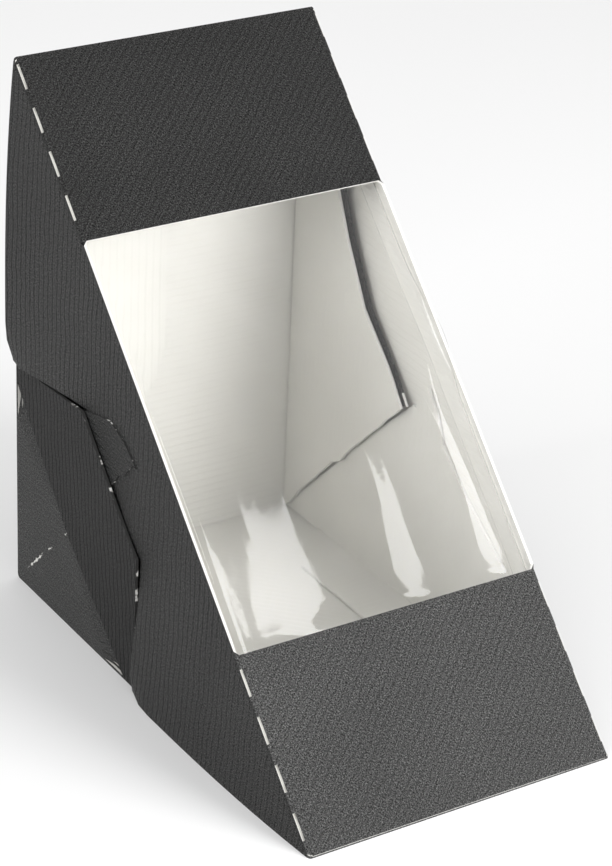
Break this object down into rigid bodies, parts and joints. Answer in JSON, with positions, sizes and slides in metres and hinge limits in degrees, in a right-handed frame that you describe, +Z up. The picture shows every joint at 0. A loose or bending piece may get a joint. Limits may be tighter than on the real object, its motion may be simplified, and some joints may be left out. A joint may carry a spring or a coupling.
{
  "type": "sandwich box with window",
  "caption": "Triangular card sandwich pack with a clear film window on its slope and locked corner tabs on both sides.",
  "frame": {"origin": "on the table, under the middle of the pack's box", "axes": "+Z up, +Y to the back wall, the window slope faces -Y and up, +X across the pack"},
  "size_m": [0.0782, 0.1236, 0.1236],
  "materials": {
    "black_card": "matt black micro-flute card, white inside and on its cut edges",
    "clear_film": "clear glossy film, slightly wavy"
  },
  "bodies": {
    "root": {"carton": "black_card", "window_film": "clear_film"}
  },
  "joints": []
}
